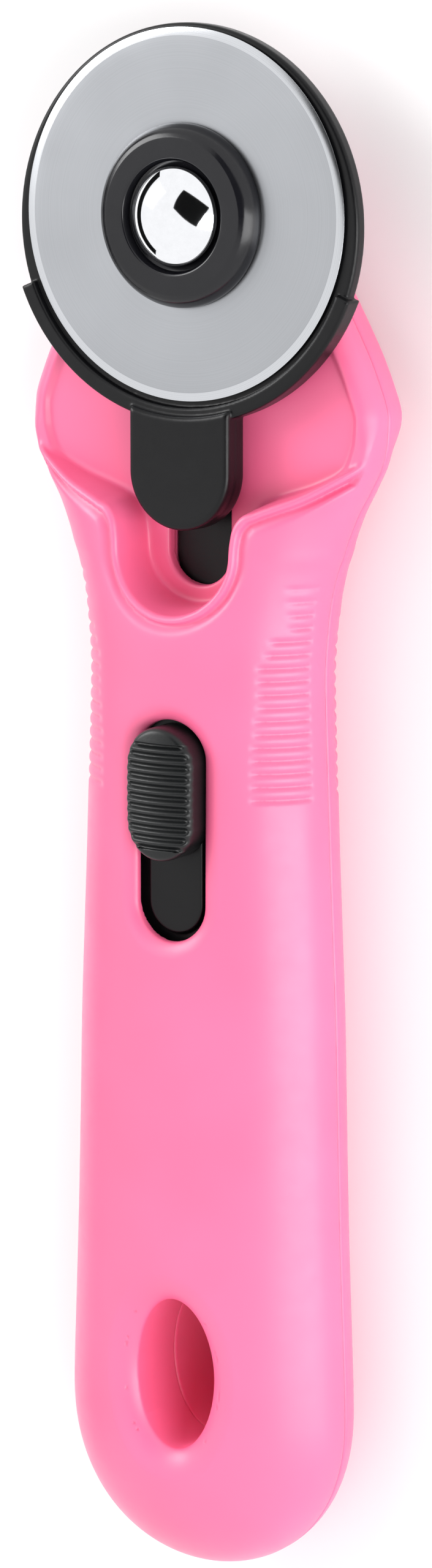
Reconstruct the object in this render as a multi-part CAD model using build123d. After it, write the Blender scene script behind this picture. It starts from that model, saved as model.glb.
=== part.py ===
from build123d import *
import os
from math import cos, sin, pi, radians, sqrt

# Rotary cutter with a 45 mm blade, lying on its back.
# Row frame: +Z up (towards the blade side), +Y towards the blade end, X across.
# Origin: middle of the bounding box in X and Y, on the plane the handle's back rests on.

# ---------------------------------------------------------------- driving dimensions (mm)
BLADE_Y = 75.0          # blade axis, along the tool from the origin
END_Y = -98.0           # butt end of the handle
Z_MID = 9.0             # parting plane of the two shells

FLOOR_Z = 12.0          # slide floor of the head
HEAD_BACK_Z = 4.4       # back face of the head
WALL = 2.0              # shell wall

BLADE_R = 22.5
BLADE_T = 0.30
BLADE_BORE_R = 4.0
BLADE_Z = 15.61         # back face of the blade
BEVEL_W = 1.0

TRAVEL = 9.0            # guard and thumb button travel, towards the butt end

GUARD_R = 24.07         # upper contour of the guard
GUARD_OFF = 1.07        # its centre, below the blade axis
GUARD_Z0, GUARD_Z1 = 13.3, 15.3
LIP_RI, LIP_RO, LIP_Z1 = 23.3, 25.25, 16.3
LIP_START = 22.0        # degrees below horizontal where the lip starts
ARM_HW = 7.15
ARM_Z0, ARM_Z1 = 13.3, 17.1
ARM_TOP_R = 24.2        # arc round the blade that ends the arm
ARM_END = 38.3          # from the blade axis to the arm's round end

NOTCH_HW, NOTCH_END = 7.45, 47.8      # notch in the handle's front, at the floor
NOTCH_TOP_HW, NOTCH_TOP_END = 7.8, 48.2
LINK_HW = 4.2
LINK_SLOT_HW, LINK_SLOT_END, LINK_SLOT_TOP = 4.45, 45.6, 25.6

SLOT_HW, SLOT_TOP, SLOT_END = 4.92, 61.4, 89.4   # thumb slot, from the blade axis
PAD_HW, PAD_TOP, PAD_END = 4.75, 62.0, 78.8     # thumb button
PAD_Z = 22.8

HOLE_Y = 145.7          # hang hole, from the blade axis
HOLE_A, HOLE_B = 5.7, 9.9

BOLT_R = 3.0
BOLT_FLAT = 2.4
THREAD_R = 2.5

CAR_HW, CAR_Z0, CAR_Z1 = 5.5, 6.0, 8.6           # carriage bar
CAR_LAND_Z, CAR_LAND_END = 10.2, 46.2            # raised land that closes the link slot
CAR_TOP, CAR_END = 26.0, 87.0


def y(d):
    """Row Y of a place d mm below the blade axis."""
    return BLADE_Y - d


# ---------------------------------------------------------------- helpers
def box(x0, x1, y0, y1, z0, z1):
    return Pos((x0 + x1) / 2, (y0 + y1) / 2, (z0 + z1) / 2) * Box(x1 - x0, y1 - y0, z1 - z0)


def cyl(x, yy, z0, z1, r):
    return Pos(x, yy, (z0 + z1) / 2) * Cylinder(r, z1 - z0)


def stadium(hw, ya, yb, z0, z1):
    """Round-ended bar along Y, from ya to yb (outer ends)."""
    lo, hi = min(ya, yb), max(ya, yb)
    f = Pos(0, (lo + hi) / 2, z0) * SlotOverall(hi - lo, 2 * hw, rotation=90)
    return extrude(f, z1 - z0)


def prism(pts, z0, z1):
    w = Polyline(*[(p[0], p[1], z0) for p in pts], close=True)
    return extrude(make_face(w), z1 - z0, dir=(0, 0, 1))


def ring(yy, z0, z1, ro, ri, x=0.0):
    return cyl(x, yy, z0, z1, ro) - cyl(x, yy, z0 - 1, z1 + 1, ri)


def revolved(pts, x=0.0, yy=BLADE_Y):
    """Closed (r, z) profile turned about a vertical axis."""
    w = Polyline(*[(p[0], 0, p[1]) for p in pts], close=True)
    return Pos(x, yy, 0) * revolve(make_face(w), axis=Axis.Z)


def lerp(table, d):
    for (a, va), (b, vb) in zip(table, table[1:]):
        if d <= b:
            t = (d - a) / (b - a)
            return va + (vb - va) * t
    return table[-1][1]


# ---------------------------------------------------------------- handle form
# distance below the blade axis -> half width
HALF_W = [(27.0, 24.75), (28.5, 24.6), (30.3, 24.0), (32.0, 23.1), (33.4, 22.35), (35.0, 21.4), (36.4, 20.7), (38.0, 20.0),
          (39.4, 19.45), (41.0, 18.93), (42.5, 18.3), (44.0, 17.85), (45.6, 17.45), (47.0, 17.15), (50.0, 16.8), (55.0, 16.4), (60.0, 16.45), (70.0, 16.83), (80.0, 17.23), (90.0, 17.69), (100.0, 18.14), (110.0, 18.4),
          (120.0, 18.66), (130.0, 18.98), (140.0, 19.39), (147.0, 19.68), (152.0, 19.8), (156.0, 19.55),
          (160.0, 18.55), (164.0, 16.4), (167.5, 13.2), (170.5, 9.2), (172.2, 5.6), (173.0, 2.2)]
BACK_T = [(27.0, 4.6), (30.0, 5.0), (33.2, 5.8), (39.4, 7.3), (45.0, 8.4), (50.0, 9.0), (55.0, 9.15), (152.0, 9.15),
          (160.0, 8.8), (164.0, 8.0), (167.5, 6.9), (170.5, 5.2), (172.2, 3.5), (173.0, 1.5)]
FRONT_T = [(27.0, 9.0), (30.0, 9.5), (34.0, 10.0), (40.0, 10.5), (45.0, 10.8), (50.0, 10.95), (60.0, 11.0), (100.0, 11.2), (130.0, 11.55),
           (147.0, 11.7), (152.0, 11.65), (156.0, 11.45), (160.0, 11.0), (164.0, 9.9), (167.5, 8.3), (170.5, 6.1), (172.2, 4.0), (173.0, 1.6)]
BACK_N = [(27.0, 4.5), (39.4, 3.4), (55.0, 2.5), (173.0, 2.4)]
FRONT_N = [(27.0, 2.6), (34.0, 2.35), (38.0, 2.25), (50.0, 2.12), (60.0, 2.1), (147.0, 2.0), (173.0, 2.0)]


def section(d, inset=0.0):
    a = lerp(HALF_W, d) - inset
    ft, bt = lerp(FRONT_T, d) - inset, lerp(BACK_T, d) - inset
    fn, bn = lerp(FRONT_N, d), lerp(BACK_N, d)

    def arc(t, n, sign):
        pts = []
        for i in range(0, 17):
            q = pi * i / 16
            c, s = cos(q), abs(sin(q))
            k = (abs(c) ** n + s ** n) ** (-1 / n)
            pts.append((a * k * c, y(d), Z_MID + sign * (t * k * s if 0 < i < 16 else 0.0)))
        return pts

    top, bot = arc(ft, fn, 1), arc(bt, bn, -1)
    e1 = Spline(*top)
    e2 = Spline(*reversed(bot))
    return Face(Wire([e1, e2]))


OUT_D = [27.0, 28.5, 30.3, 32.0, 35.0, 38.0, 41.0, 44.0, 47.0, 50.0, 55.0, 60.0, 80.0, 110.0, 130.0, 147.0, 152.0, 156.0, 160.0,
         164.0, 167.5, 170.5, 172.2, 173.0]
handle = loft([section(d) for d in OUT_D])

IN_D = [52.0, 56.0, 60.0, 80.0, 110.0, 130.0, 147.0, 152.0, 156.0, 160.0, 163.0, 166.0]
core = loft([section(d, WALL) for d in IN_D])

# head plate: outline of the widened head and its nose round the bolt
HEAD = [(24.75, 27.0), (25.0, 24.6), (24.85, 22.7), (23.8, 19.7), (22.5, 16.7), (21.0, 13.8), (19.4, 10.9),
        (17.3, 7.2), (15.1, 3.0), (12.9, -1.4), (10.1, -6.2), (6.0, -10.3), (0.0, -12.0)]
right = [(px, y(d)) for px, d in HEAD]
left = [(-px, yy) for px, yy in reversed(right[:-1])]
outline = Spline(*[(px, yy, HEAD_BACK_Z) for px, yy in right + left])
base = Line((right[0][0], right[0][1], HEAD_BACK_Z), (left[-1][0], left[-1][1], HEAD_BACK_Z))
head = extrude(make_face(Wire([outline, base])), 13.0 - HEAD_BACK_Z, dir=(0, 0, 1))
body = handle + head

# slide floor: everything in front of it is taken off above the ridge line, with the notch for the guard's arm
RIDGE = [(30.0, 27.2), (24.6, 28.2), (22.7, 29.2), (20.2, 30.5), (16.5, 32.4), (12.0, 33.9), (9.6, 34.9),
         (8.4, 36.6), (7.7, 39.0)]
cut = prism([(px, y(d)) for px, d in RIDGE] + [(-px, y(d)) for px, d in reversed(RIDGE)] + [(-30, y(-30)), (30, y(-30))],
            FLOOR_Z, 30.0)
notch = stadium(NOTCH_HW, y(10.0), y(NOTCH_END), FLOOR_Z, 30.0)
notch_top = stadium(NOTCH_TOP_HW, y(30.0), y(NOTCH_TOP_END), 15.5, 30.0)
body = body - cut - notch - notch_top
# flat strip that the back rests on
body = body - box(-30, 30, -120, 120, -5, 0.0)

# hang hole: oval through hole with a flared mouth on both faces
def oval(a, b, z0, z1, taper=0.0):
    f = Pos(0, y(HOLE_Y), z0) * Ellipse(a, b)
    return extrude(f, z1 - z0, taper=taper)

hang = oval(HOLE_A, HOLE_B, -5, 25)
flare = loft([Pos(0, y(HOLE_Y), 17.4) * Ellipse(HOLE_A, HOLE_B), Pos(0, y(HOLE_Y), 19.2) * Ellipse(HOLE_A + 0.9, HOLE_B + 0.9),
              Pos(0, y(HOLE_Y), 21.2) * Ellipse(HOLE_A + 3.5, HOLE_B + 3.5)])
flare_b = loft([Pos(0, y(HOLE_Y), 1.2) * Ellipse(HOLE_A, HOLE_B), Pos(0, y(HOLE_Y), 0.4) * Ellipse(HOLE_A + 0.4, HOLE_B + 0.4),
                Pos(0, y(HOLE_Y), -0.2) * Ellipse(HOLE_A + 1.3, HOLE_B + 1.3)])
hole_wall = oval(HOLE_A + 2.6, HOLE_B + 2.6, 0.5, 20.0)

SCREWS = [(15.5, 22.0), (-15.5, 22.0), (0.0, 118.0), (0.0, 161.5)]      # x, distance below the blade axis

above = box(-40, 40, -130, 130, Z_MID, 40)
below = box(-40, 40, -130, 130, -10, Z_MID)

# ---------------------------------------------------------------- front shell
core_f = core & above
front = body & above
posts = [cyl(x, y(d), Z_MID - 0.0, 19.5, 3.6) for x, d in SCREWS[2:]]
core_f = core_f - hole_wall
for p in posts:
    core_f = core_f - p
front = front - core_f
# room for the slot cover under the front wall, and for its foot
front = front - stadium(7.2, y(50.9), y(102.0), 15.6, 17.9) - box(-6.2, 6.2, y(100.0), y(52.0), 8.0, 16.0)
front = front - stadium(SLOT_HW, y(SLOT_TOP), y(SLOT_END), 12.0, 25.0)
# slot for the guard's link through the floor
front = front - stadium(LINK_SLOT_HW, y(LINK_SLOT_TOP), y(LINK_SLOT_END), 5.0, FLOOR_Z + 1)
# channel under the floor for the carriage's land over its travel
front = front - stadium(LINK_HW + 0.4, y(25.0), y(CAR_LAND_END + TRAVEL + 1.0), 8.0, CAR_LAND_Z + 0.3)
front = front - hang - flare
front = front - cyl(0, BLADE_Y, 5, 20, BOLT_R + 0.05)
for x, d in SCREWS:
    front = front - cyl(x, y(d), 5.0, 10.9 if d < 50 else 15.2, 1.45)

# ---------------------------------------------------------------- rear shell
core_r = core & below
core_r = core_r - hole_wall
for x, d in SCREWS[2:]:
    core_r = core_r - cyl(x, y(d), 0.0, Z_MID, 4.2)
core_r = core_r - cyl(0, y(107.0), 0.0, 4.4, 3.4)          # boss that carries the detent spring
rear = (body & below) - core_r
rear = rear - stadium(6.6, y(21.0), y(100.0), 4.9, 20.0)   # channel of the carriage
rear = rear - hang - flare_b
rear = rear - cyl(0, y(107.0), 2.0, 10.0, 1.05)
PLATE_Z0 = 7.4
rear = rear - (Pos(0, BLADE_Y, (PLATE_Z0 + 20) / 2) * Box(18.1, 18.1, 20 - PLATE_Z0))
rear = rear - cyl(0, BLADE_Y, -1, 20, BOLT_R + 0.05)
for x, d in SCREWS:
    if d < 50:
        rear = rear - cyl(x, y(d), 0, 20, 1.6) - cyl(x, y(d), -1, 6.2, 3.0)
    else:
        rear = rear - cyl(x, y(d), -1, 20, 1.6) - cyl(x, y(d), -1, 3.2, 3.0)
# weight-saving pockets either side of the channel in the head
for s in (1, -1):
    rear = rear - box(min(s * 8.4, s * 11.6), max(s * 8.4, s * 11.6), y(30.0), y(14.0), 6.2, 20.0)

# ---------------------------------------------------------------- blade guard
disc = Pos(0, BLADE_Y - GUARD_OFF, GUARD_Z0) * extrude(Circle(GUARD_R), GUARD_Z1 - GUARD_Z0)
lip_disc = cyl(0, BLADE_Y, GUARD_Z0, LIP_Z1, LIP_RO)
lip_in = cyl(0, BLADE_Y, GUARD_Z1, 30.0, LIP_RI)
yl = LIP_RO * sin(radians(LIP_START))
half = box(-40, 40, BLADE_Y - 40, BLADE_Y - yl, 0, 40)
lip = (lip_disc & half) - lip_in
arm = stadium(ARM_HW, y(10.0), y(ARM_END), ARM_Z0, ARM_Z1)
arm = arm - cyl(0, BLADE_Y, 0, 40, ARM_TOP_R)
try:
    rim = [e for e in arm.edges() if abs(e.center().Z - ARM_Z1) < 1e-3 and e.center().Y < y(ARM_TOP_R + 0.6)]
    arm = fillet(rim, 0.9)
except Exception:
    pass
foot = stadium(ARM_HW, y(22.0), y(ARM_END), ARM_Z0, GUARD_Z1)
neck = stadium(LINK_HW, y(26.0), y(36.2), CAR_LAND_Z, ARM_Z0 + 0.5)
guard = disc + lip + arm + foot + neck
# slot that clears the bush over the travel
guard = guard - stadium(6.0, y(-6.0 - TRAVEL), y(6.0), 0, 40)
guard = guard - cyl(0, y(29.0), 5, 13.0, 1.05) - cyl(0, y(33.4), 5, 13.0, 1.05)

# ---------------------------------------------------------------- carriage, slot cover, thumb button
car = stadium(CAR_HW, y(CAR_TOP), y(CAR_END), CAR_Z0, CAR_Z1)
car = car + stadium(LINK_HW, y(CAR_TOP + 0.5), y(CAR_LAND_END), CAR_Z1 - 0.5, CAR_LAND_Z)
for d in (29.0, 33.4, 68.0, 73.5):
    car = car - cyl(0, y(d), 5, 11, 1.25) - cyl(0, y(d), 5, 7.4, 2.3)
NOTCH_D = 82.0
for d in (NOTCH_D, NOTCH_D - TRAVEL):
    car = car - (Pos(0, y(d), CAR_Z0 - 0.35) * Rot(0, 90, 0) * Cylinder(1.1, 20))

COVER_Z0, COVER_LEDGE, COVER_Z1 = 15.7, 16.7, 17.7
LAND_HW = 3.95
cover = stadium(6.5, y(51.6), y(91.2), COVER_Z0, COVER_LEDGE) + stadium(4.0, y(63.4), y(77.8), CAR_Z1, COVER_Z0)
cover = cover + stadium(LAND_HW, y(52.2), y(88.6), COVER_Z0, COVER_Z1)
for d in (68.0, 73.5):
    cover = cover - cyl(0, y(d), 5, 20, 1.25)

pad = stadium(PAD_HW, y(PAD_TOP), y(PAD_END), COVER_Z1, PAD_Z)
# crowned top
crown = Pos(0, y((PAD_TOP + PAD_END) / 2), PAD_Z - 13.0) * Rot(90, 0, 0) * Cylinder(13.0, 40)
crown2 = Pos(0, y((PAD_TOP + PAD_END) / 2), PAD_Z - 32.0) * Rot(0, 90, 0) * Cylinder(32.0, 40)
low = stadium(PAD_HW, y(PAD_TOP), y(PAD_END), COVER_Z1, 20.2)
pad = (pad & crown & crown2) + low
n_rib = 10
for i in range(n_rib):
    d = PAD_TOP + 1.55 + i * (PAD_END - PAD_TOP - 3.1) / (n_rib - 1)
    g = Pos(0, y(d), PAD_Z + 0.35) * Rot(0, 90, 0) * Cylinder(0.62, 20)
    pad = pad - (g & box(-20, 20, y(90), y(50), 21.2, 30))
for d in (68.0, 73.5):
    pad = pad - cyl(0, y(d), 5, 19.6, 1.05)

# ---------------------------------------------------------------- detent spring and its screw
leaf = box(-2.5, 2.5, y(110.0), y(79.0), 4.4, 4.8)
nose = Pos(0, y(NOTCH_D), 4.8) * Rot(0, 90, 0) * Cylinder(0.95, 5.0)
leaf = leaf + (nose & box(-5, 5, y(90), y(70), 4.5, 10))
leaf = leaf - cyl(0, y(107.0), 0, 10, 1.1)
d_screw = cyl(0, y(107.0), 2.2, 4.8, 1.0) + cyl(0, y(107.0), 4.8, 6.0, 2.0)
d_screw = d_screw - box(-0.3, 0.3, y(110), y(104), 5.5, 7)


def screw(x, d, z0, z1, zh, r, rh, drive=True):
    """Screw with its head below: head from z0 to zh, shank from zh to z1."""
    s = cyl(x, y(d), z0, zh, rh) + cyl(x, y(d), zh, z1, r)
    if drive:
        s = s - (Pos(x, y(d), z0 + 0.3) * Box(rh * 1.1, 0.5, 0.9)) - (Pos(x, y(d), z0 + 0.3) * Box(0.5, rh * 1.1, 0.9))
    return s


guard_screws = [screw(0, d, 6.05, 12.7, 7.35, 0.95, 2.2) for d in (29.0, 33.4)]
button_screws = [screw(0, d, 6.05, 19.2, 7.35, 0.95, 2.2) for d in (68.0, 73.5)]
shell_screws = [screw(x, d, 4.7, 10.6, 6.15, 1.4, 2.7) if d < 50 else screw(x, d, 1.2, 14.9, 3.15, 1.4, 2.7)
                for x, d in SCREWS]

# ---------------------------------------------------------------- blade and what holds it
bev = 0.13
blade = revolved([(BLADE_BORE_R, BLADE_Z), (BLADE_R - BEVEL_W, BLADE_Z), (BLADE_R, BLADE_Z + bev),
                  (BLADE_R, BLADE_Z + BLADE_T - bev), (BLADE_R - BEVEL_W, BLADE_Z + BLADE_T), (BLADE_BORE_R, BLADE_Z + BLADE_T)])
bush = revolved([(BOLT_R + 0.05, FLOOR_Z), (5.6, FLOOR_Z), (5.6, BLADE_Z - 0.25), (3.95, BLADE_Z - 0.25), (3.95, 16.5), (BOLT_R + 0.05, 16.5)])
spacer = ring(BLADE_Y, BLADE_Z - 0.25, BLADE_Z - 0.02, 5.4, 4.0)
hub = revolved([(BOLT_R + 0.05, 16.55), (8.6, 16.55), (8.6, 15.96), (11.15, 15.96), (11.15, 16.5),
                (10.95, 17.1), (10.45, 17.9), (9.8, 18.5), (7.1, 18.5), (6.7, 18.1), (6.7, 17.2), (BOLT_R + 0.05, 17.2)])
washer = revolved([(4.3, 16.22), (8.3, 15.97), (8.3, 16.17), (4.3, 16.42)])
dome_c = 18.2
dome_h = 2.4
dome_r = (6.0 ** 2 + dome_h ** 2) / (2 * dome_h)
cap = Pos(0, BLADE_Y, dome_c + dome_h - dome_r) * Sphere(dome_r)
cap = cap & cyl(0, BLADE_Y, dome_c, 30, 6.0)
shank = cyl(0, BLADE_Y, 6.0, 17.2, BOLT_R) - box(BOLT_FLAT, 10, BLADE_Y - 5, BLADE_Y + 5, 0, 12.0) - box(-10, -BOLT_FLAT, BLADE_Y - 5, BLADE_Y + 5, 0, 12.0)
bolt = cap + cyl(0, BLADE_Y, 17.2, dome_c, 6.0) + shank + cyl(0, BLADE_Y, 1.1, 6.0, THREAD_R - 0.1)
plate = (Pos(0, BLADE_Y, (PLATE_Z0 + Z_MID) / 2) * Box(18.0, 18.0, Z_MID - PLATE_Z0)) - (
    cyl(0, BLADE_Y, 0, 20, BOLT_R + 0.04) & box(-BOLT_FLAT - 0.04, BOLT_FLAT + 0.04, BLADE_Y - 6, BLADE_Y + 6, 0, 20))

rear_washer = ring(BLADE_Y, 3.9, HEAD_BACK_Z, 6.5, BOLT_R + 0.05)
insert = cyl(0, BLADE_Y, 0.9, 3.8, 4.0) - cyl(0, BLADE_Y, 0, 5, THREAD_R - 0.1 + 0.06)
nut = cyl(0, BLADE_Y, 0.3, 3.85, 9.0)
for i in range(12):
    a = 2 * pi * i / 12
    nut = nut - cyl(10.1 * cos(a), BLADE_Y + 10.1 * sin(a), 0, 5, 1.9)
nut = nut - cyl(0, BLADE_Y, 0.9, 5, 4.0)
nut = nut - (ring(BLADE_Y, 0.0, 0.9, 6.9, 5.2))

# ---------------------------------------------------------------- write
PARTS = {
    "front_shell": front,
    "rear_shell": rear,
    "blade_guard": guard,
    "guard_carriage": car,
    "slot_cover": cover,
    "thumb_button": pad,
    "detent_spring": leaf,
    "detent_screw": d_screw,
    "guard_screws": Compound(children=guard_screws),
    "button_screws": Compound(children=button_screws),
    "shell_screws": Compound(children=shell_screws),
    "blade": blade,
    "blade_bush": bush,
    "blade_spacer": spacer,
    "hub_ring": hub,
    "spring_washer": washer,
    "pivot_bolt": bolt,
    "bolt_plate": plate,
    "rear_washer": rear_washer,
    "nut_insert": insert,
    "thumb_nut": nut,
}

os.makedirs("parts", exist_ok=True)
for name, shape in PARTS.items():
    export_step(shape, "parts/" + name + ".step")
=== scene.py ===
import math
import bpy
import bmesh
import numpy as np
import openvdb
from mathutils import Matrix, Vector


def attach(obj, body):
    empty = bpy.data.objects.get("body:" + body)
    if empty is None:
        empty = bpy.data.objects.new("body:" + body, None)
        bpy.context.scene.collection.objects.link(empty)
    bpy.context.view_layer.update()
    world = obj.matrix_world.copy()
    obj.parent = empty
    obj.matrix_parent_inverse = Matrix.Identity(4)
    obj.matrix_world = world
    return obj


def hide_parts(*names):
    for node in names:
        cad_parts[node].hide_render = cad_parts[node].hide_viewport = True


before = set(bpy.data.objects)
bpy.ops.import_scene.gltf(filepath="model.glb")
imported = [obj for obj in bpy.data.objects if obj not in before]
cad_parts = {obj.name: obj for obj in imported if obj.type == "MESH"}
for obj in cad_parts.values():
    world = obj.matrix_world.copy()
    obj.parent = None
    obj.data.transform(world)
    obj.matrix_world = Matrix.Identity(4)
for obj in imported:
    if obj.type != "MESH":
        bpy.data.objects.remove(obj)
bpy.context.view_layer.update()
MM = 0.001
BY = 75.0                    # blade axis along Y, mm

# ------------------------------------------------------------------ materials


def mat(name):
    m = bpy.data.materials.new(name)
    m.use_nodes = True
    nt = m.node_tree
    nt.nodes.clear()
    out = nt.nodes.new("ShaderNodeOutputMaterial")
    b = nt.nodes.new("ShaderNodeBsdfPrincipled")
    nt.links.new(b.outputs["BSDF"], out.inputs["Surface"])
    return m, nt, b


def node(nt, kind, **kw):
    n = nt.nodes.new(kind)
    for k, v in kw.items():
        setattr(n, k, v)
    return n


def srgb(r, g, b):
    def f(c):
        c /= 255.0
        return c / 12.92 if c <= 0.04045 else ((c + 0.055) / 1.055) ** 2.4
    return (f(r), f(g), f(b), 1.0)


def noise(nt, coord, scale, detail=3.0, rough=0.55, dist=0.0):
    n = node(nt, "ShaderNodeTexNoise")
    n.inputs["Scale"].default_value = scale
    n.inputs["Detail"].default_value = detail
    n.inputs["Roughness"].default_value = rough
    n.inputs["Distortion"].default_value = dist
    nt.links.new(coord, n.inputs["Vector"])
    return n.outputs["Fac"]


def ramp(nt, fac, lo, hi, a, b):
    r = node(nt, "ShaderNodeMapRange")
    r.inputs["From Min"].default_value = lo
    r.inputs["From Max"].default_value = hi
    r.inputs["To Min"].default_value = a
    r.inputs["To Max"].default_value = b
    nt.links.new(fac, r.inputs["Value"])
    return r.outputs["Result"]


def mixc(nt, fac, a, b):
    m = node(nt, "ShaderNodeMix", data_type="RGBA")
    m.inputs[6].default_value = a
    m.inputs[7].default_value = b
    nt.links.new(fac, m.inputs[0])
    return m.outputs[2]


def bumps(nt, b, layers):
    """layers: (height socket, distance in m, strength)"""
    last = None
    for h, dist, strength in layers:
        n = node(nt, "ShaderNodeBump")
        n.inputs["Strength"].default_value = strength
        n.inputs["Distance"].default_value = dist
        nt.links.new(h, n.inputs["Height"])
        if last is not None:
            nt.links.new(last, n.inputs["Normal"])
        last = n.outputs["Normal"]
    nt.links.new(last, b.inputs["Normal"])


def objcoord(nt):
    return node(nt, "ShaderNodeTexCoord").outputs["Object"]


def plastic(name, base, dark, light, rough, grain=0.000012, sss=0.0, coat=0.0, coat_rough=0.25, spec=0.5):
    m, nt, b = mat(name)
    co = objcoord(nt)
    broad = noise(nt, co, 45.0, 2.0)
    fine = noise(nt, co, 2600.0, 3.0, 0.6)
    c1 = mixc(nt, ramp(nt, broad, 0.35, 0.65, 0.0, 1.0), dark, light)
    nt.links.new(c1, b.inputs["Base Color"])
    mid = noise(nt, co, 420.0, 4.0, 0.6)
    nt.links.new(ramp(nt, mid, 0.3, 0.7, rough - 0.04, rough + 0.05), b.inputs["Roughness"])
    bumps(nt, b, [(fine, grain, 0.5), (mid, grain * 1.5, 0.25)])
    b.inputs["Specular IOR Level"].default_value = spec
    if sss:
        b.inputs["Subsurface Weight"].default_value = sss
        b.inputs["Subsurface Radius"].default_value = (1.0, 0.35, 0.45)
        b.inputs["Subsurface Scale"].default_value = 0.002
    if coat:
        b.inputs["Coat Weight"].default_value = coat
        b.inputs["Coat Roughness"].default_value = coat_rough
    return m


PINK = plastic("pink_moulded", None, srgb(244, 104, 147), srgb(248, 109, 153), 0.42, coat=0.3, coat_rough=0.34)
BLACK = plastic("black_moulded", None, srgb(9, 9, 11), srgb(14, 14, 16), 0.33, grain=0.00002, spec=0.26)
BLACK_HUB = plastic("black_hub", None, srgb(16, 16, 20), srgb(22, 22, 26), 0.20, grain=0.000008, spec=0.42)
BLACK_RIB = plastic("black_button", None, srgb(12, 14, 15), srgb(18, 20, 21), 0.36, grain=0.00002, spec=0.40)
NYLON = plastic("white_nylon", None, srgb(226, 224, 216), srgb(236, 234, 228), 0.45)


def metal(name, lo, hi, rough, aniso=0.0, lines="round", line_scale=9000.0, centre=(0.0, BY * MM, 0.0), bump=0.000004, streak=0.5):
    """Metal with fine turned or ground lines. lines: round (about a vertical axis), along (parallel to Y) or none."""
    m, nt, b = mat(name)
    b.inputs["Metallic"].default_value = 1.0
    co = objcoord(nt)
    broad = noise(nt, co, 60.0, 3.0)
    if lines == "round":
        sub = node(nt, "ShaderNodeVectorMath", operation="SUBTRACT")
        sub.inputs[1].default_value = centre
        nt.links.new(co, sub.inputs[0])
        flat = node(nt, "ShaderNodeVectorMath", operation="MULTIPLY")
        flat.inputs[1].default_value = (1.0, 1.0, 0.0)
        nt.links.new(sub.outputs[0], flat.inputs[0])
        ln = node(nt, "ShaderNodeVectorMath", operation="LENGTH")
        nt.links.new(flat.outputs[0], ln.inputs[0])
        comb = node(nt, "ShaderNodeCombineXYZ")
        nt.links.new(ln.outputs["Value"], comb.inputs["X"])
        fine = noise(nt, comb.outputs[0], line_scale, 3.0, 0.7)
    elif lines == "along":
        sc = node(nt, "ShaderNodeMapping")
        sc.inputs["Scale"].default_value = (1.0, 0.02, 1.0)
        nt.links.new(co, sc.inputs["Vector"])
        fine = noise(nt, sc.outputs[0], line_scale, 3.0, 0.7)
    else:
        fine = noise(nt, co, line_scale, 3.0, 0.7)
    nt.links.new(mixc(nt, ramp(nt, fine, 0.3, 0.7, 0.0, 1.0), lo, hi), b.inputs["Base Color"])
    nt.links.new(ramp(nt, broad, 0.3, 0.7, max(0.02, rough - 0.04), rough + 0.04), b.inputs["Roughness"])
    bumps(nt, b, [(fine, bump, streak)])
    if aniso:
        b.inputs["Anisotropic"].default_value = aniso
    return m


BLADE_FACE = metal("blade_face", srgb(166, 168, 172), srgb(174, 176, 180), 0.32, lines="round", line_scale=5200.0, bump=0.0000008, streak=0.15)
BLADE_EDGE = metal("blade_edge", srgb(200, 202, 206), srgb(212, 214, 218), 0.20, lines="round", line_scale=9000.0, bump=0.000002, streak=0.3)
CHROME = metal("chrome", srgb(236, 237, 240), srgb(242, 243, 246), 0.045, lines="none", line_scale=900.0, bump=0.000001, streak=0.15)
STEEL = metal("zinc_steel", srgb(176, 178, 182), srgb(196, 198, 202), 0.32, lines="none", line_scale=3000.0)
SPRING = metal("spring_steel", srgb(120, 122, 128), srgb(150, 152, 158), 0.30, lines="along", line_scale=4000.0)
TURNED = metal("turned_steel", srgb(170, 172, 176), srgb(196, 198, 202), 0.28, lines="round", line_scale=7000.0)
BRASS = metal("brass", srgb(204, 164, 84), srgb(222, 184, 104), 0.28, lines="round", line_scale=6000.0)

# ------------------------------------------------------------------ mesh helpers


def link(me, name, mats):
    o = bpy.data.objects.new(name, me)
    bpy.context.scene.collection.objects.link(o)
    for m in mats:
        me.materials.append(m)
    return o


def lathe(name, profile, seg, mats, slots=None, cy=BY, closed=True, radial=None):
    """Profile of (r, z) in mm turned about the vertical axis at (0, cy). Sharp points are given twice a little apart."""
    bm = bmesh.new()
    rings = []
    for k, (r, z) in enumerate(profile):
        if r < 1e-6:
            rings.append([bm.verts.new((0.0, cy * MM, z * MM))])
            continue
        ring = []
        for i in range(seg):
            a = 2 * math.pi * i / seg
            rr = r if radial is None else radial(r, z, a, k)
            ring.append(bm.verts.new((rr * math.cos(a) * MM, (cy + rr * math.sin(a)) * MM, z * MM)))
        rings.append(ring)
    n = len(rings)
    for k in range(n if closed else n - 1):
        A, B = rings[k], rings[(k + 1) % n]
        slot = (slots[k] if slots else 0)
        if len(A) == 1 and len(B) == 1:
            continue
        for i in range(seg):
            j = (i + 1) % seg
            if len(A) == 1:
                f = bm.faces.new((A[0], B[j], B[i]))
            elif len(B) == 1:
                f = bm.faces.new((A[i], A[j], B[0]))
            else:
                f = bm.faces.new((A[i], A[j], B[j], B[i]))
            f.material_index = slot
            f.smooth = True
    bmesh.ops.recalc_face_normals(bm, faces=bm.faces)
    me = bpy.data.meshes.new(name)
    bm.to_mesh(me)
    bm.free()
    return link(me, name, mats)


def arc(cx, cz, r, a0, a1, n):
    """Points of an arc in the (r, z) plane, degrees."""
    return [(cx + r * math.cos(math.radians(a0 + (a1 - a0) * i / n)), cz + r * math.sin(math.radians(a0 + (a1 - a0) * i / n)))
            for i in range(n + 1)]


def smax(a, b, k):
    if np.isscalar(k) and k <= 0:
        return np.maximum(a, b)
    h = np.clip(0.5 + 0.5 * (a - b) / k, 0.0, 1.0)
    return b + (a - b) * h + k * h * (1.0 - h)


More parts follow.
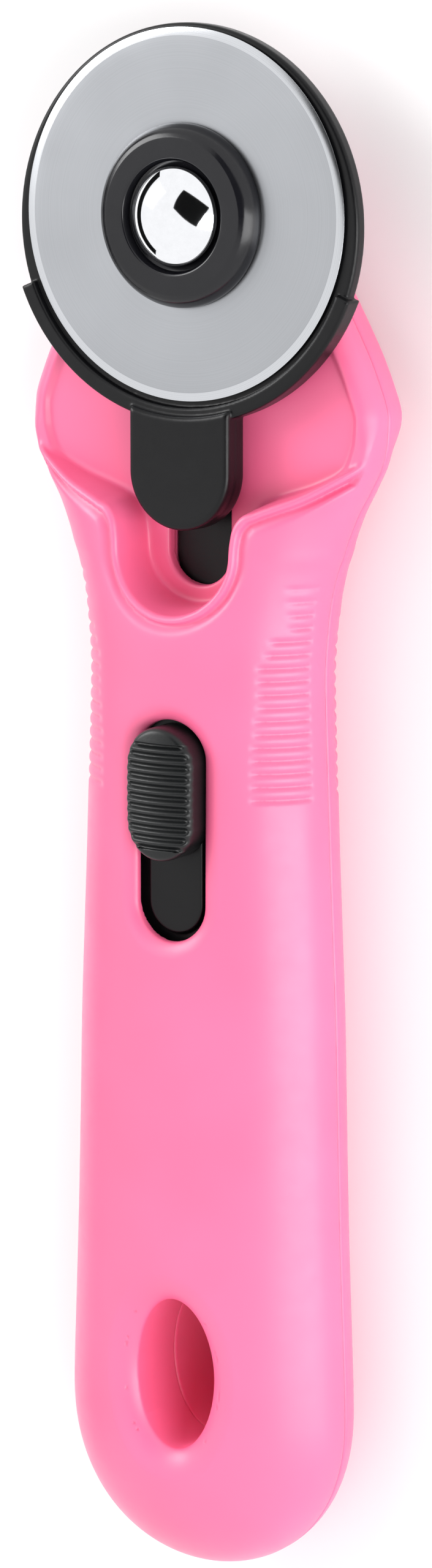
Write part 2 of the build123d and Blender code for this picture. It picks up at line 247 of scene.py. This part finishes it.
def smin(a, b, k):
    return -smax(-a, -b, k)


def rmax(a, b, r):
    """Meeting of two surfaces with a true round of radius r."""
    u, v = np.maximum(a + r, 0.0), np.maximum(b + r, 0.0)
    return np.minimum(np.maximum(a, b), -r) + np.sqrt(u * u + v * v)


def emax(a, b, ra, rb, p=2.0):
    """The same with an elliptical round: rb wide along the face of a, ra deep along the face of b."""
    u, v = np.maximum(a / ra + 1.0, 0.0), np.maximum(b / rb + 1.0, 0.0)
    q = u * u + v * v + 1e-9
    w = (ra * u * u + rb * v * v) / q
    return np.where((u > 0) & (v > 0), ((u ** p + v ** p + 1e-9) ** (1.0 / p) - 1.0) * w, np.maximum(a, b))


def sstep(x, a, b):
    t = np.clip((x - a) / (b - a), 0.0, 1.0)
    return t * t * (3 - 2 * t)


def catmull(pts, n=12, closed=False):
    P = np.array(pts, float)
    out = []
    N = len(P)
    for i in range(N if closed else N - 1):
        p0 = P[(i - 1) % N] if closed or i > 0 else 2 * P[0] - P[1]
        p1, p2 = P[i], P[(i + 1) % N]
        p3 = P[(i + 2) % N] if closed or i + 2 < N else 2 * P[-1] - P[-2]
        for s in range(n):
            t = s / n
            out.append(0.5 * ((2 * p1) + (-p0 + p2) * t + (2 * p0 - 5 * p1 + 4 * p2 - p3) * t * t + (-p0 + 3 * p1 - 3 * p2 + p3) * t ** 3))
    if not closed:
        out.append(P[-1])
    return np.array(out)


def poly_sdf(x, y, poly):
    """Signed distance to a closed polygon, negative inside."""
    x = np.asarray(x, np.float32)
    y = np.asarray(y, np.float32)
    d = np.full(x.shape, 1e9, np.float32)
    inside = np.zeros(x.shape, bool)
    n = len(poly)
    for i in range(n):
        ax, ay = poly[i]
        bx, by = poly[(i + 1) % n]
        ex, ey = bx - ax, by - ay
        L = ex * ex + ey * ey
        if L < 1e-12:
            continue
        wx, wy = x - ax, y - ay
        t = np.clip((wx * ex + wy * ey) / L, 0, 1)
        dx, dy = wx - ex * t, wy - ey * t
        d = np.minimum(d, dx * dx + dy * dy)
        if ay != by:
            c = ((ay > y) != (by > y)) & (x < (bx - ax) * (y - ay) / (by - ay) + ax)
            inside ^= c
    d = np.sqrt(d)
    return np.where(inside, -d, d)


def stadium2(x, y, hw, ya, yb):
    """2D signed distance of a round-ended bar along Y whose outer ends are ya and yb."""
    lo, hi = min(ya, yb) + hw, max(ya, yb) - hw
    return np.hypot(x, y - np.clip(y, lo, hi)) - hw


def extrude_sdf(d2, z, z0, z1, r):
    h = (z1 - z0) / 2
    wx = d2 + r
    wz = np.abs(z - (z0 + z1) / 2) - h + r
    return np.sqrt(np.maximum(wx, 0) ** 2 + np.maximum(wz, 0) ** 2) + np.minimum(np.maximum(wx, wz), 0) - r


def sdf_object(name, field, lo, hi, vox, mats, target=None, slot_fn=None, passes=4):
    """Meshes field(x, y, z) = 0 (mm) inside the box lo..hi. Vertices are moved onto the exact surface, and the
    normals come from the field, so that the shading is as smooth as the form."""
    nx, ny, nz = [int(math.ceil((hi[i] - lo[i]) / vox)) + 1 for i in range(3)]
    xs = (lo[0] + vox * np.arange(nx)).astype(np.float32)
    ys = (lo[1] + vox * np.arange(ny)).astype(np.float32)
    zs = (lo[2] + vox * np.arange(nz)).astype(np.float32)
    vol = np.empty((nx, ny, nz), np.float32)
    step = 48
    for j in range(0, ny, step):
        X, Y, Z = np.meshgrid(xs, ys[j:j + step], zs, indexing="ij")
        vol[:, j:j + step, :] = field(X, Y, Z)
    np.clip(vol, -3 * vox, 3 * vox, out=vol)
    vol[0, :, :] = vol[-1, :, :] = vol[:, 0, :] = vol[:, -1, :] = vol[:, :, 0] = vol[:, :, -1] = 3 * vox
    g = openvdb.FloatGrid(3.0 * vox)
    g.copyFromArray(vol)
    pts, quads = g.convertToQuads(0.0)
    del vol
    pts = np.asarray(pts, np.float64) * vox + np.array(lo)
    me = bpy.data.meshes.new(name)
    me.vertices.add(len(pts))
    me.vertices.foreach_set("co", (pts * MM).astype(np.float32).ravel())
    quads = np.asarray(quads, np.int32)[:, ::-1]
    me.loops.add(quads.size)
    me.loops.foreach_set("vertex_index", quads.ravel())
    me.polygons.add(len(quads))
    me.polygons.foreach_set("loop_start", np.arange(0, quads.size, 4, dtype=np.int32))
    me.update(calc_edges=True)
    me.validate()
    o = link(me, name, mats)
    tris = len(quads) * 2
    if target and tris > target:
        mod = o.modifiers.new("thin", "DECIMATE")
        mod.ratio = target / tris
        dg = bpy.context.evaluated_depsgraph_get()
        me2 = bpy.data.meshes.new_from_object(o.evaluated_get(dg))
        o.modifiers.clear()
        old = o.data
        o.data = me2
        bpy.data.meshes.remove(old)
        me = me2
        me.name = name
    n = len(me.vertices)
    co = np.empty(n * 3, np.float32)
    me.vertices.foreach_get("co", co)
    P = co.reshape(-1, 3).astype(np.float64) / MM
    e = 0.03

    def val(Q):
        return field(Q[:, 0].astype(np.float64), Q[:, 1].astype(np.float64), Q[:, 2].astype(np.float64))

    def grad(Q, e):
        G = np.empty_like(Q)
        for k in range(3):
            s = np.zeros(3)
            s[k] = e
            G[:, k] = (val(Q + s) - val(Q - s)) / (2 * e)
        return G

    for _ in range(passes):
        v = val(P)
        G = grad(P, e)
        m2 = np.maximum((G * G).sum(1), 0.05)
        stepv = -(v / m2)[:, None] * G
        L = np.linalg.norm(stepv, axis=1)
        cap = vox * 0.45
        stepv *= np.minimum(1.0, cap / np.maximum(L, 1e-9))[:, None]
        P = P + stepv
    me.vertices.foreach_set("co", (P * MM).astype(np.float32).ravel())
    G = grad(P, 0.06)
    L = np.linalg.norm(G, axis=1)
    me.update()
    vn = np.empty(n * 3, np.float32)
    me.vertices.foreach_get("normal", vn)
    vn = vn.reshape(-1, 3)
    N = G / np.maximum(L, 1e-9)[:, None]
    bad = (L < 0.3) | ((N * vn).sum(1) < 0.6)
    N[bad] = vn[bad]
    me.polygons.foreach_set("use_smooth", np.ones(len(me.polygons), bool))
    if slot_fn is not None:
        c = np.empty(len(me.polygons) * 3, np.float32)
        me.polygons.foreach_get("center", c)
        c = c.reshape(-1, 3) / MM
        me.polygons.foreach_set("material_index", slot_fn(c[:, 0], c[:, 1], c[:, 2]).astype(np.int32))
    me.normals_split_custom_set_from_vertices(N.astype(np.float32).tolist())
    me.update()
    print(name, "tris", sum(len(p.vertices) - 2 for p in me.polygons) if len(me.polygons) < 5000 else len(me.polygons), "bad normals", int(bad.sum()))
    return o


# ------------------------------------------------------------------ the handle's form (mm, d is the distance below the blade axis)
_A = np.array([(16, 24.9), (22, 24.95), (26, 24.95), (27.4, 24.8), (28.7, 24.55), (30.3, 24.0), (32, 23.1), (33.4, 22.35), (35, 21.4), (36.4, 20.7),
               (38, 20.0), (39.4, 19.45), (41, 18.93), (42.5, 18.3), (44, 17.85), (45.6, 17.45), (47, 17.15), (50, 16.78), (55, 16.4),
               (60, 16.45), (70, 16.83), (80, 17.23), (90, 17.69), (100, 18.14), (110, 18.4), (120, 18.66), (130, 18.98),
               (140, 19.39), (147, 19.68), (152, 19.8), (160, 19.85), (180, 19.85)])
_T = np.array([(16, 4.7), (26, 4.8), (30, 5.2), (33.2, 5.9), (36.3, 6.6), (39.4, 7.35), (42, 7.95), (45, 8.45), (50, 8.98), (55, 9.1), (62, 9.1), (180, 9.1)])
_N = np.array([(16, 3.2), (27, 3.1), (39.4, 2.75), (50, 2.55), (60, 2.45), (180, 2.4)])
_F = np.array([(16, 9.0), (27, 9.0), (30, 9.5), (34, 10.0), (40, 10.5), (45, 10.78), (50, 10.92), (60, 10.98), (70, 11.02), (100, 11.15),
               (130, 11.5), (147, 11.66), (180, 11.68)])
_M = np.array([(16, 2.6), (27, 2.6), (34, 2.35), (38, 2.25), (50, 2.13), (60, 2.1), (100, 2.07), (147, 2.02), (180, 2.02)])


def dense(tab):
    c = catmull(tab, 10)
    return c[:, 0].copy(), c[:, 1].copy()


A_X, A_Y = dense(_A)
T_X, T_Y = dense(_T)
N_X, N_Y = dense(_N)
F_X, F_Y = dense(_F)
M_X, M_Y = dense(_M)
END_D0, END_D1, END_P = 150.0, 172.95, 2.3


def handle_field(x, y, z, inset=0.0):
    d = BY - y
    A = np.interp(d, A_X, A_Y) - inset
    bt = np.interp(d, F_X, F_Y) - inset
    bb = np.interp(d, T_X, T_Y) - inset
    zc = z - 9.0
    B = np.where(zc > 0, bt, bb)
    n = np.where(zc > 0, np.interp(d, M_X, M_Y), np.interp(d, N_X, N_Y))
    ax = np.abs(x) / A
    az = np.abs(zc) / B
    S = (ax ** n + az ** n + 1e-9) ** (1.0 / n)
    E = np.clip((d - END_D0) / (END_D1 - END_D0 - inset), 0, None) ** END_P
    R = np.sqrt(S * S + E)
    # gradient of R, worked out roughly, turns it into a distance
    s1 = np.maximum(S, 1e-3)
    gx = (ax ** (n - 1)) * s1 ** (1 - n) / A
    gz = (az ** (n - 1)) * s1 ** (1 - n) / B
    gy = np.where(d > END_D0, END_P * np.clip((d - END_D0) / (END_D1 - END_D0 - inset), 0, None) ** (END_P - 1) / (END_D1 - END_D0 - inset) / 2, 0.0)
    slope = 0.0
    G = np.sqrt(((S / np.maximum(R, 1e-3)) ** 2) * (gx * gx + gz * gz) + (gy / np.maximum(R, 1e-3)) ** 2 + 1e-8)
    return (R - 1.0) / np.maximum(G, 0.02)


_HEAD = [(24.75, 27.4), (25.0, 24.6), (24.8, 22.6), (23.75, 19.7), (22.45, 16.7), (20.95, 13.8), (19.35, 10.9),
         (17.25, 7.2), (15.05, 3.0), (12.85, -1.4), (10.05, -6.2), (6.0, -10.25), (0.0, -11.95)]
_h = _HEAD + [(-a, b) for a, b in reversed(_HEAD[:-1])]
_hs = catmull(_h, 8)
HEAD_POLY = [(px, BY - dd) for px, dd in _hs] + [(-23.8, BY - 31.0), (-21.6, BY - 35.0), (-21.6, BY - 60.0), (21.6, BY - 60.0), (21.6, BY - 35.0), (23.8, BY - 31.0)]

_RIDGE = [(30.0, 26.6), (26.2, 27.6), (24.4, 28.35), (22.7, 29.25), (20.2, 30.55), (16.5, 32.3), (13.0, 33.5), (10.9, 34.25), (9.2, 35.2),
          (8.0, 37.0), (7.55, 39.0), (7.42, 40.6)]
_r = catmull([(a, BY - b) for a, b in _RIDGE], 6)
_u = [(7.42 * math.cos(t), BY - 40.6 - 7.2 * math.sin(t)) for t in np.linspace(0.0, math.pi, 41)[1:-1]]
CUT_POLY = [tuple(p) for p in _r] + _u + [(-a, b) for a, b in _r[::-1]] + [(-30.0, BY + 30.0), (30.0, BY + 30.0)]

RIB_D = [44.6 + 1.632 * i for i in range(17)]
RIB_IN = [14.6] * 4 + [12.8, 12.25] + [11.5] * 4 + [11.2] * 2 + [10.87] * 5


def cut2(x, y):
    """Ridge and notch line at the floor: negative on the head's side."""
    if x.ndim == 3:
        s = poly_sdf(x[:, :, 0], y[:, :, 0], CUT_POLY)
        return s[:, :, None]
    return poly_sdf(x, y, CUT_POLY)


def head2(x, y):
    if x.ndim == 3:
        return poly_sdf(x[:, :, 0], y[:, :, 0], HEAD_POLY)[:, :, None]
    return poly_sdf(x, y, HEAD_POLY)


def body_field(x, y, z):
    d = BY - y
    H = handle_field(x, y, z)
    if float(np.min(d)) < 48.0:
        w = head2(x, y) + 0.030 * (z - 8.4) ** 2
        P = extrude_sdf(w, z, 4.4, 30.0, 1.25)
        t = sstep(d, 23.5, 31.5)
        H = np.where(d < 23.5, P, P + (H - P) * t)
    return H


def ribs(x, y, z):
    """Depth of the grip grooves."""
    d = BY - y
    out = np.zeros(np.broadcast(x, y, z).shape)
    if float(np.max(d)) < 42 or float(np.min(d)) > 74:
        return out
    ax = np.abs(x)
    q = (d - RIB_D[0]) / 1.632
    i = np.clip(np.rint(q), 0, 16)
    off = (q - i) * 1.632
    xin = np.interp(i, range(17), RIB_IN)
    prof = np.exp(-(off / 0.34) ** 2)
    fade = sstep(i, -0.5, 3.0) * 0.55 + 0.45
    front = sstep(ax, xin - 0.5, xin + 0.7) * sstep(z, 11.7, 12.5) * (z > 9)
    rear = sstep(z, 2.0, 3.4) * (1 - sstep(z, 6.2, 7.0)) * sstep(d, 50.0, 52.5) * 0.85
    return 0.30 * prof * fade * np.maximum(front, rear)


HY = BY - 145.7


def hang_field(x, y, z):
    """Signed distance of the hang hole's wall, negative in the hole."""
    a, b = 5.68, 9.88
    q = np.sqrt((x / a) ** 2 + ((y - HY) / b) ** 2 + 1e-9)
    g = np.sqrt((x / a ** 2) ** 2 + ((y - HY) / b ** 2) ** 2 + 1e-9) / q
    return (q - 1.0) / np.maximum(g, 0.02)


def front_field(x, y, z):
    d = BY - y
    dmin, dmax = float(np.min(d)), float(np.max(d))
    F = body_field(x, y, z) + ribs(x, y, z)
    if dmin < 54.0:
        c2 = cut2(x, y)
        ce = c2 - (0.09 + 0.08 * sstep(np.abs(x), 8.5, 11.5)) * (z - 12.0)
        # shallow line that follows the ridge, just outside its rounded lip
        deep = 0.74 + 0.40 * sstep(np.abs(x), 14.0, 21.0)
        t = ce - 1.2
        F = F + deep * np.exp(-(t / np.where(t < 0, 0.30, 0.78 - 0.2 * sstep(np.abs(x), 13.0, 21.0))) ** 2) * (z > 12.4)
        hd = head2(x, y)
        rim = smax(hd + 2.8, c2 - 1.0, 3.0)
        floor = 12.04 + 0.74 * sstep(rim, -0.55, 0.55)
        C = smax(ce, floor - z, 0.7)
        F = rmax(F, -C, 2.3 - 1.6 * sstep(d, 23.5, 28.5))
        F = smax(F, -stadium2(x, y, 4.45, BY - 25.6, BY - 45.6), 0.5)
        F = np.maximum(F, -np.maximum(stadium2(x, y, 4.6, BY - 25.0, BY - 56.2), z - 10.5))
    F = smax(F, 9.03 - z, 0.35)
    if dmax > 50.0 and dmin < 104.0:
        F = emax(F, -stadium2(x, y, 4.92, BY - 61.4, BY - 89.4), 1.1, 2.1, 1.5)
        # pocket under the front wall for the sliding cover
        pocket = np.maximum(stadium2(x, y, 7.1, BY - 50.9, BY - 101.9), z - 17.85)
        F = smax(F, -pocket, 0.1)
    if dmax > 52.0:
        core = handle_field(x, y, z, inset=2.0)
        core = np.maximum(core, 53.0 - d)
        core = np.maximum(core, d - 166.0)
        core = smax(core, -(hang_field(x, y, z) - 2.4), 0.3)
        for dd in (118.0, 161.5):
            core = np.maximum(core, -(np.hypot(x, y - (BY - dd)) - 3.6))
        F = np.maximum(F, -core)
        for dd in (118.0, 161.5):
            F = np.maximum(F, -np.maximum(np.hypot(x, y - (BY - dd)) - 1.5, z - 15.2))
    if dmax > 130.0:
        hg = -hang_field(x, y, z)
        F = np.where(z > 12.0, emax(F, hg, 2.4, 3.8, 1.4), rmax(F, hg, 0.3))
    if dmin < 8.0:
        F = np.maximum(F, -(np.hypot(x, y - BY) - 3.1))
    if dmin < 28.0:
        for sx in (15.5, -15.5):
            F = np.maximum(F, -np.maximum(np.hypot(x - sx, y - (BY - 22.0)) - 1.5, z - 10.9))
    return F


def rear_field(x, y, z):
    d = BY - y
    dmin, dmax = float(np.min(d)), float(np.max(d))
    F = body_field(x, y, z) + ribs(x, y, z)
    F = smax(F, z - 8.97, 0.35)
    F = smax(F, 0.02 - z, 0.25)
    # channel of the carriage
    chan = np.maximum(stadium2(x, y, 6.6, BY - 21.0, BY - 100.0), 4.9 - z)
    F = smax(F, -chan, 0.2)
    if dmax > 52.0:
        core = handle_field(x, y, z, inset=2.0)
        core = np.maximum(core, 53.0 - d)
        core = np.maximum(core, d - 166.0)
        core = smax(core, -(hang_field(x, y, z) - 2.4), 0.3)
        for dd in (118.0, 161.5):
            core = np.maximum(core, -(np.hypot(x, y - (BY - dd)) - 4.2))
        core = np.maximum(core, -np.maximum(np.hypot(x, y - (BY - 107.0)) - 3.4, z - 4.4))
        F = np.maximum(F, -core)
        F = np.maximum(F, -np.maximum(np.hypot(x, y - (BY - 107.0)) - 1.05, 2.0 - z))
        for dd in (118.0, 161.5):
            r = np.hypot(x, y - (BY - dd))
            F = smax(F, -np.maximum(r - 3.0, z - 3.2), 0.35)
            F = np.maximum(F, -(r - 1.65))
    if dmax > 130.0:
        F = rmax(F, -hang_field(x, y, z), np.where(z < 5.0, 0.9, 0.3))
    if dmin < 30.0:
        F = np.maximum(F, -np.maximum(np.maximum(np.abs(x) - 9.1, np.abs(y - BY) - 9.1), 7.4 - z))
        F = np.maximum(F, -(np.hypot(x, y - BY) - 3.1))
        for sx in (15.5, -15.5):
            r = np.hypot(x - sx, y - (BY - 22.0))
            F = smax(F, -np.maximum(r - 3.0, z - 6.2), 0.35)
            F = np.maximum(F, -(r - 1.65))
    return F


# ------------------------------------------------------------------ guard
def guard_field(x, y, z):
    r0 = np.hypot(x, y - BY)
    r1 = np.hypot(x, y - (BY - 1.07))
    disc = extrude_sdf(r1 - 24.05, z, 13.32, 15.3, 0.45)
    # lip round the lower half of the edge
    th = np.degrees(np.arctan2(BY - y, np.abs(x)))          # 0 at the sides, 90 straight down
    ringd = np.abs(r0 - 24.25) - 0.97
    step = (22.0 - th) * np.pi / 180.0 * 24.0
    lip = extrude_sdf(np.maximum(ringd, step), z, 13.32, 16.3, 0.35)
    G = smin(disc, lip, 0.25)
    arm2 = stadium2(x, y, 7.12, BY - 5.0, BY - 38.27)
    arm2 = smax(arm2, 24.3 - r0, 0.4)
    arm = extrude_sdf(arm2, z, 13.32, 17.08, 0.6)
    root = extrude_sdf(smax(stadium2(x, y, 7.12, BY - 5.0, BY - 38.27), 20.5 - r0, 0.2), z, 13.32, 15.25, 0.2)
    G = smin(G, arm, 0.35)
    G = smin(G, root, 0.25)
    neck = extrude_sdf(stadium2(x, y, 4.18, BY - 26.0, BY - 36.2), z, 10.22, 14.2, 0.15)
    G = smin(G, neck, 0.2)
    G = smax(G, -stadium2(x, y, 6.0, BY + 15.0, BY - 6.0), 0.3)
    for dd in (29.0, 33.4):
        G = np.maximum(G, -np.maximum(np.hypot(x, y - (BY - dd)) - 1.05, z - 13.0))
    return G


def cover_field(x, y, z):
    plate = extrude_sdf(stadium2(x, y, 6.48, BY - 51.62, BY - 91.18), z, 15.72, 16.68, 0.2)
    land = extrude_sdf(stadium2(x, y, 3.92, BY - 52.22, BY - 88.55), z, 15.9, 17.68, 0.35)
    foot = extrude_sdf(stadium2(x, y, 3.98, BY - 63.4, BY - 77.8), z, 8.62, 16.2, 0.1)
    F = smin(smin(plate, land, 0.3), foot, 0.2)
    for dd in (68.0, 73.5):
        F = np.maximum(F, -(np.hypot(x, y - (BY - dd)) - 1.25))
    return F


PB0, PB1 = BY - 78.78, BY - 62.02
N_RIB = 10
PAD_TOP_Z = 22.74


def pad_field(x, y, z):
    d2 = stadium2(x, y, 4.73, PB0, PB1)
    # crowned top: lower at the sides and at both ends
    mid = (PB0 + PB1) / 2
    top = PAD_TOP_Z - (x / 4.75) ** 2 * 0.85 - (np.abs(y - mid) / 8.2) ** 2.6 * 0.75
    p = (y - PB0 - 1.75) / ((PB1 - PB0 - 3.9) / N_RIB)
    k = np.clip(np.floor(p), 0, N_RIB - 1)
    ph = p - k - 0.5                                     # -0.5..0.5 in each rib
    inrun = (p > -0.15) & (p < N_RIB + 0.15)
    groove = 0.52 * (0.5 - np.cos(2 * np.pi * ph) * 0.5) ** 1.1
    sidefade = sstep(-d2, 0.15, 0.95)
    top = top - np.where(inrun, groove, 0.0) * (0.35 + 0.65 * sidefade)
    F = extrude_sdf(d2, z, 17.72, 25.0, 0.15)
    F = smax(F, (z - top) * 0.8, 0.75)
    for dd in (68.0, 73.5):
        F = np.maximum(F, -np.maximum(np.hypot(x, y - (BY - dd)) - 1.05, z - 19.6))
    return F


pieces = []


def keep(o, body, slot, *nodes):
    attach(o, body)
    if nodes:
        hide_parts(*nodes)
    pieces.append(o)
    return o


FRONT = sdf_object("front_shell_moulding", front_field, (-25.9, -98.8, 8.6), (25.9, 88.0, 21.5), 0.26, [PINK], target=230000)
keep(FRONT, "handle", "pink_plastic", "front_shell")
REAR = sdf_object("rear_shell_moulding", rear_field, (-25.9, -98.8, -0.6), (25.9, 88.0, 9.5), 0.30, [PINK], target=150000)
keep(REAR, "handle", "pink_plastic", "rear_shell")
GUARD = sdf_object("blade_guard_moulding", guard_field, (-26.1, 35.7, 9.6), (26.1, 99.0, 17.7), 0.22, [BLACK], target=110000)
keep(GUARD, "guard", "black_plastic", "blade_guard")
COVER = sdf_object("slot_cover_moulding", cover_field, (-7.2, -17.0, 8.2), (7.2, 24.0, 18.2), 0.22, [BLACK], target=20000)
keep(COVER, "guard", "black_plastic", "slot_cover")
PAD = sdf_object("thumb_button_moulding", pad_field, (-5.3, PB0 - 0.5, 17.3), (5.3, PB1 + 0.5, 23.3), 0.11, [BLACK_RIB], target=40000)
keep(PAD, "guard", "black_plastic", "thumb_button")

# ------------------------------------------------------------------ turned pieces
R, T, Z0 = 22.5, 0.30, 15.61
blade = lathe("blade_disc", [
    (4.0, Z0), (20.2, Z0), (R - 1.02, Z0), (R - 1.0, Z0 + 0.001), (R - 0.05, Z0 + 0.122), (R - 0.01, Z0 + 0.14), (R, Z0 + T / 2),
    (R - 0.01, Z0 + T - 0.14), (R - 0.05, Z0 + T - 0.122), (R - 1.0, Z0 + T - 0.001), (R - 1.02, Z0 + T), (20.2, Z0 + T), (11.8, Z0 + T), (4.0, Z0 + T)],
    256, [BLADE_FACE, BLADE_EDGE], slots=[0, 0, 1, 1, 1, 1, 1, 1, 1, 1, 0, 0, 0, 0])
keep(blade, "blade", "blade_steel", "blade")

hub_prof = ([(3.05, 16.55), (8.6, 16.55), (8.6, 15.98), (8.65, 15.96), (11.05, 15.96)] + arc(11.0, 16.1, 0.14, -80, 0, 4)
            + [(11.13, 16.45), (11.08, 16.75), (10.95, 17.1)] + arc(8.95, 16.55, 2.0, 22, 62, 8)[1:] + arc(9.35, 17.98, 0.5, 60, 90, 5)
            + [(9.0, 18.49), (7.5, 18.49)] + arc(7.2, 18.19, 0.3, 90, 180, 5) + [(6.75, 18.0), (6.72, 17.3), (6.62, 17.2), (3.05, 17.2)])
hub = lathe("hub_ring_moulding", hub_prof, 160, [BLACK_HUB])
keep(hub, "handle", "black_plastic", "hub_ring")

dome = [(0.0, 20.58)]
for i in range(1, 25):
    rr = 5.8 * i / 24
    dome.append((rr, 20.58 - 2.22 * (rr / 5.8) ** 2.5))
z_e = dome[-1][1]
dome += [(5.9, z_e - 0.13), (5.97, z_e - 0.28), (5.98, 17.9), (5.98, 17.3), (5.9, 17.22), (3.02, 17.2), (2.98, 17.15), (2.98, 12.2), (2.98, 6.05), (2.9, 5.98), (2.4, 5.98),
         (2.38, 5.9), (2.38, 1.4), (2.1, 1.12), (0.0, 1.12)]


def neck(r, z, a, k):
    if r > 2.9 and 5.9 < z < 12.25 and z < 12.0 + 1e-6:
        return min(r, 2.38 / max(abs(math.cos(a)), 1e-6))
    return r


bolt = lathe("pivot_bolt_turned", dome, 128, [CHROME, STEEL], slots=[0] * 30 + [1] * 20, closed=False, radial=neck)
keep(bolt, "handle", "chrome", "pivot_bolt")

SC = 12


def scallop(r, z, a, k):
    if r < 7.2:
        return r
    w = min(1.0, (r - 7.2) / 1.3)
    return r - 0.95 * w * (0.5 - 0.5 * math.cos(SC * a)) ** 2.2


nut_prof = [(4.0, 0.92), (4.0, 3.78), (4.1, 3.83), (8.5, 3.83), (8.8, 3.7), (8.93, 3.45), (8.95, 3.0), (8.95, 1.2), (8.9, 0.75), (8.7, 0.45), (8.35, 0.32),
            (7.3, 0.31), (6.95, 0.34), (6.8, 0.5), (6.7, 0.82), (6.5, 0.88), (5.6, 0.88), (5.4, 0.82), (5.3, 0.5), (5.15, 0.34), (4.8, 0.31), (0.0, 0.31)]
nut = lathe("thumb_nut_moulding", nut_prof + [(0.0, 0.9)], 288, [BLACK], closed=True, radial=scallop)
keep(nut, "nut", "black_plastic", "thumb_nut")

# ------------------------------------------------------------------ CAD nodes whose shape is right
FINISH = {"guard_carriage": BLACK, "detent_spring": SPRING, "detent_screw": STEEL, "guard_screws": STEEL, "button_screws": STEEL,
          "shell_screws": STEEL, "blade_bush": TURNED, "blade_spacer": NYLON, "spring_washer": SPRING, "bolt_plate": STEEL,
          "rear_washer": TURNED, "nut_insert": BRASS}
for nme, m in FINISH.items():
    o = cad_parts[nme]
    o.data.materials.clear()
    o.data.materials.append(m)

# ------------------------------------------------------------------ stage, light, camera
fm, fnt, fb = mat("pale_floor")
fco = objcoord(fnt)
fnt.links.new(mixc(fnt, noise(fnt, fco, 6.0, 3.0), (0.90, 0.90, 0.90, 1), (0.93, 0.93, 0.93, 1)), fb.inputs["Base Color"])
fnt.links.new(ramp(fnt, noise(fnt, fco, 300.0), 0.3, 0.7, 0.7, 0.8), fb.inputs["Roughness"])
fb.inputs["Specular IOR Level"].default_value = 0.1
bm = bmesh.new()
bmesh.ops.create_grid(bm, x_segments=8, y_segments=8, size=2.5)
me = bpy.data.meshes.new("floor")
bm.to_mesh(me)
bm.free()
floor = link(me, "floor", [fm])

right = Vector((0.85042, 0.0, -0.52611))
up = Vector((-0.09968, 0.98189, -0.16112))
back = Vector((0.51658, 0.18946, 0.83502))
cam_d = bpy.data.cameras.new("camera")
cam = bpy.data.objects.new("camera", cam_d)
bpy.context.scene.collection.objects.link(cam)
cam.matrix_world = Matrix(((right.x, up.x, back.x, 0), (right.y, up.y, back.y, 0), (right.z, up.z, back.z, 0), (0, 0, 0, 1)))
cam.matrix_world.translation = Vector((0.28444, 0.10821, 0.46859)) + right * 0.00033
cam_d.sensor_width = 36.0
cam_d.sensor_fit = "AUTO"
cam_d.lens = 100.96
cam_d.clip_start = 0.01
cam_d.clip_end = 20.0
bpy.context.scene.camera = cam


def area(name, loc, size, power, aim=(0, 0, 0.01), size_y=None, color=(1, 1, 1)):
    ld = bpy.data.lights.new(name, "AREA")
    ld.energy = power
    ld.shape = "RECTANGLE"
    ld.size = size
    ld.size_y = size_y or size
    ld.color = color
    o = bpy.data.objects.new(name, ld)
    bpy.context.scene.collection.objects.link(o)
    o.location = loc
    o.rotation_euler = (Vector(aim) - Vector(loc)).to_track_quat("-Z", "Y").to_euler()
    return o


area("key_left", (-0.66, 0.40, 0.48), 0.46, 4.6)
area("side_right", (0.80, -0.10, 0.42), 0.45, 7.6, size_y=1.0)

cm, cnt, cb = mat("black_card")
cnt.links.new(mixc(cnt, noise(cnt, objcoord(cnt), 8.0), (0.004, 0.004, 0.004, 1), (0.006, 0.006, 0.006, 1)), cb.inputs["Base Color"])
cb.inputs["Roughness"].default_value = 0.9
cb.inputs["Specular IOR Level"].default_value = 0.0


def card(name, direction, dist, w, h, turn=0.0, m=cm):
    c = Vector((0.0, 0.075, 0.018))
    dv = Vector(direction).normalized()
    bmc = bmesh.new()
    bmesh.ops.create_grid(bmc, x_segments=1, y_segments=1, size=0.5)
    bmesh.ops.scale(bmc, vec=(w, h, 1.0), verts=bmc.verts)
    mec = bpy.data.meshes.new(name)
    bmc.to_mesh(mec)
    bmc.free()
    o = link(mec, name, [m])
    o.rotation_euler = (dv.to_track_quat("Z", "Y").to_matrix() @ Matrix.Rotation(math.radians(turn), 3, "Z")).to_euler()
    o.location = c + dv * dist
    return o


card("card_top", (0.30, 0.22, 0.92), 0.80, 0.84, 0.62, 24.0)
card("card_left", (-1.0, 0.02, 0.10), 0.50, 0.9, 0.13)

world = bpy.data.worlds.new("studio")
bpy.context.scene.world = world
world.use_nodes = True
wn = world.node_tree
wn.nodes["Background"].inputs["Color"].default_value = (1.0, 1.0, 1.0, 1.0)
wn.nodes["Background"].inputs["Strength"].default_value = 1.08
bpy.context.scene.view_settings.view_transform = "Standard"
